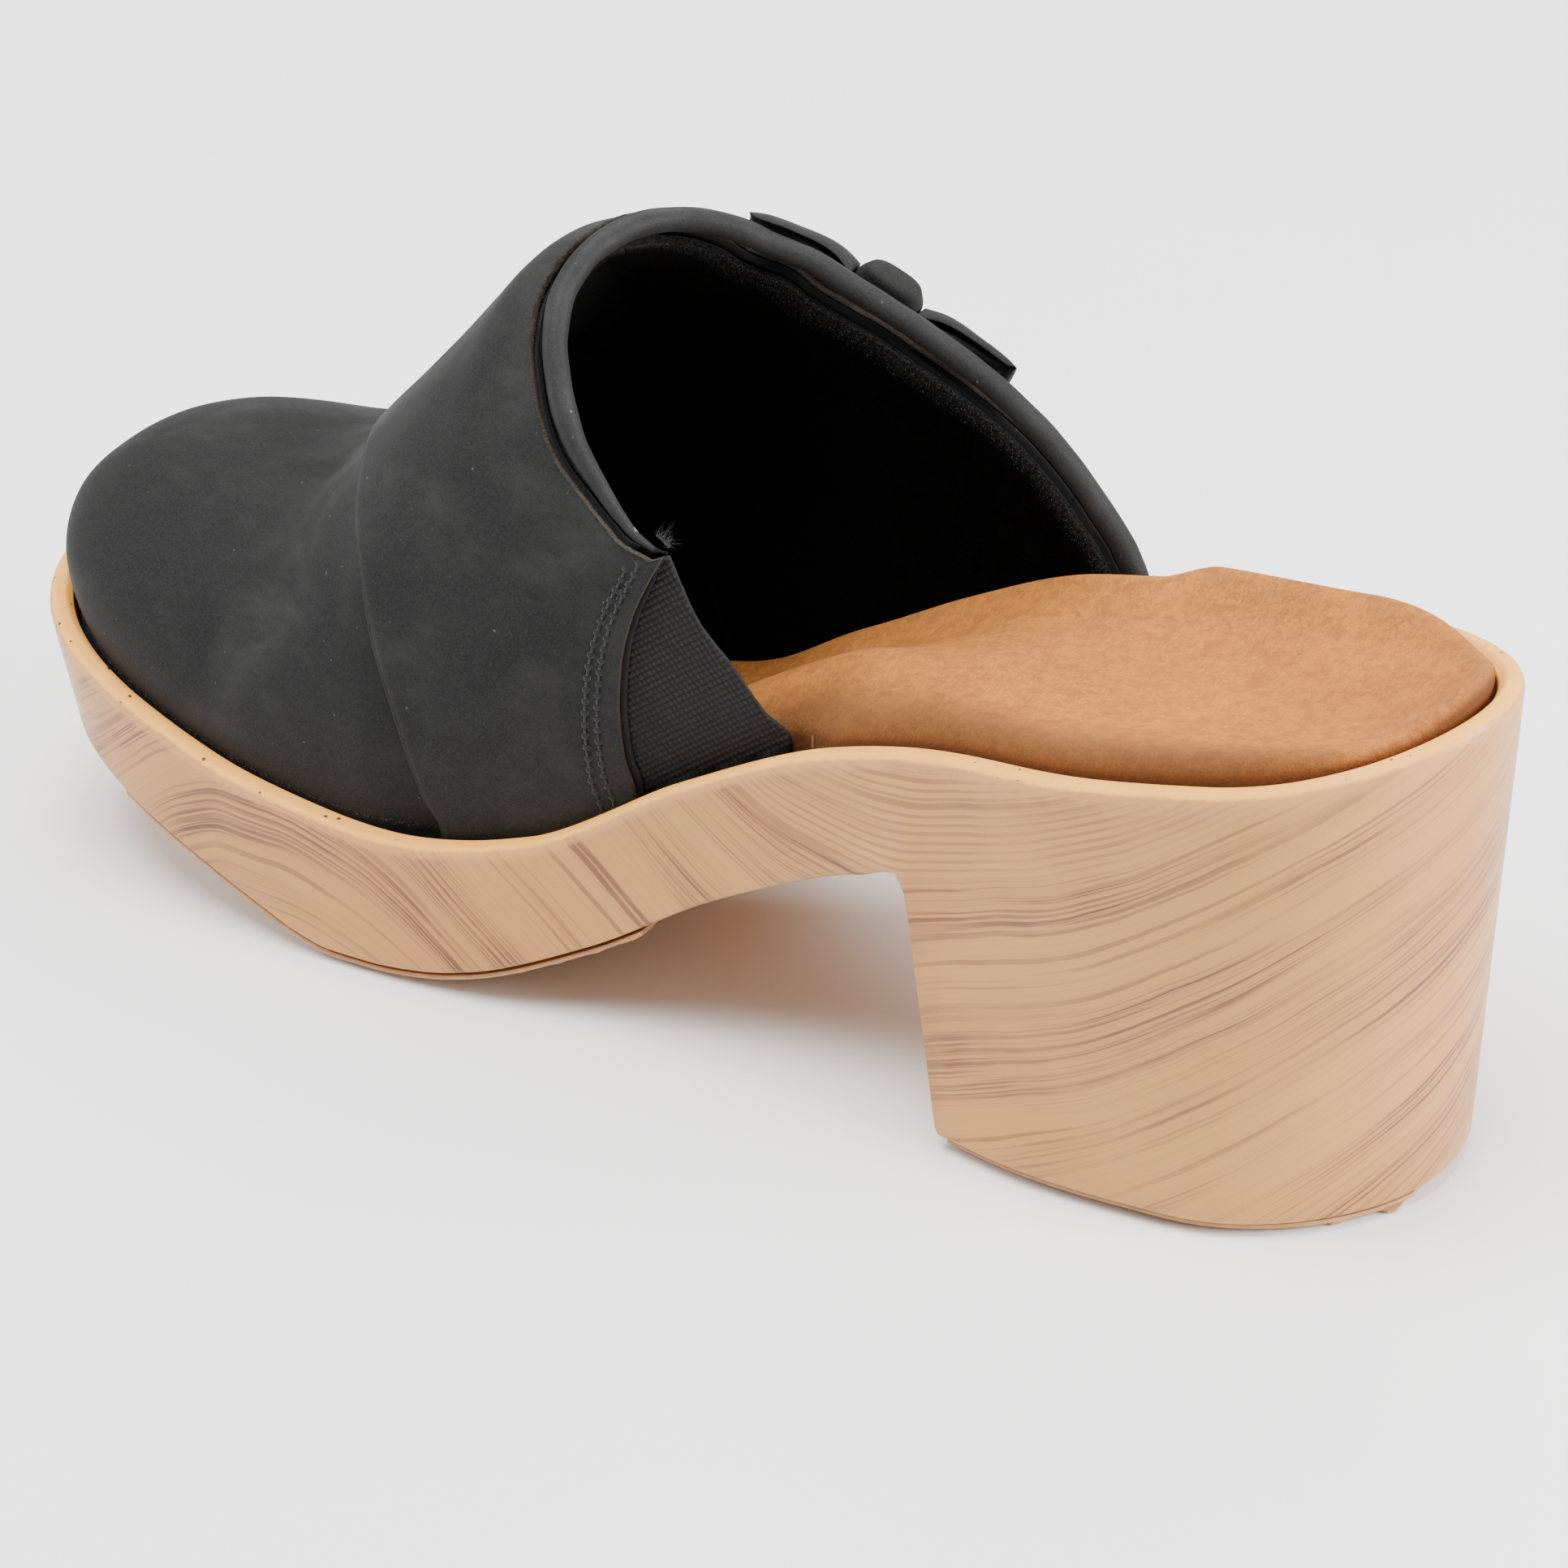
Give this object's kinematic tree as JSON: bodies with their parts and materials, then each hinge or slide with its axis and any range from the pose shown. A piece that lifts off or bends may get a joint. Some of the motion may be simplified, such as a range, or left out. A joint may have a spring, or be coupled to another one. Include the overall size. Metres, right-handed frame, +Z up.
{
  "type": "clog",
  "caption": "Heeled mule clog for the right foot with a moulded wood-look sole, cushioned footbed, instep band, elastic side gore and bow.",
  "frame": {"origin": "bottom of the standing shoe, under the middle of its bounding box", "axes": "+X from heel to toe, +Y to the wearer's left, the inner side of this right shoe, +Z up from the floor"},
  "size_m": [0.2566, 0.0891, 0.121],
  "materials": {
    "sole_unit": "satin, printed wood grain",
    "heel_tread": "matte",
    "forefoot_tread": "matte",
    "heel_core": "moulded",
    "steel": "zinc plated",
    "insole_board": "pressed fibreboard",
    "footbed_foam": "open-cell foam",
    "footbed_cover": "microsuede",
    "nubuck": "nubuck",
    "toe_puff": "thermoplastic felt",
    "velvet": "velvet",
    "elastic": "woven elastic",
    "cord": "twisted cord"
  },
  "bodies": {
    "root": {"sole_unit": "sole_unit", "heel_tread": "heel_tread", "forefoot_tread": "forefoot_tread", "heel_core": "heel_core", "heel_screw": "steel", "heel_nail_1": "steel", "heel_nail_2": "steel", "heel_nail_3": "steel", "heel_nail_4": "steel", "steel_shank": "steel", "shank_rivet_1": "steel", "shank_rivet_2": "steel", "insole_board": "insole_board", "footbed_foam": "footbed_foam", "footbed_cover": "footbed_cover", "vamp": "nubuck", "toe_puff": "toe_puff", "vamp_lining": "velvet", "instep_band": "nubuck", "quarter": "nubuck", "quarter_facing": "nubuck", "quarter_lining": "velvet", "medial_gore": "elastic", "topline_binding": "nubuck", "piping_cord": "cord", "bow_upper_loop": "nubuck", "bow_lower_loop": "nubuck", "bow_knot": "nubuck"}
  },
  "joints": []
}
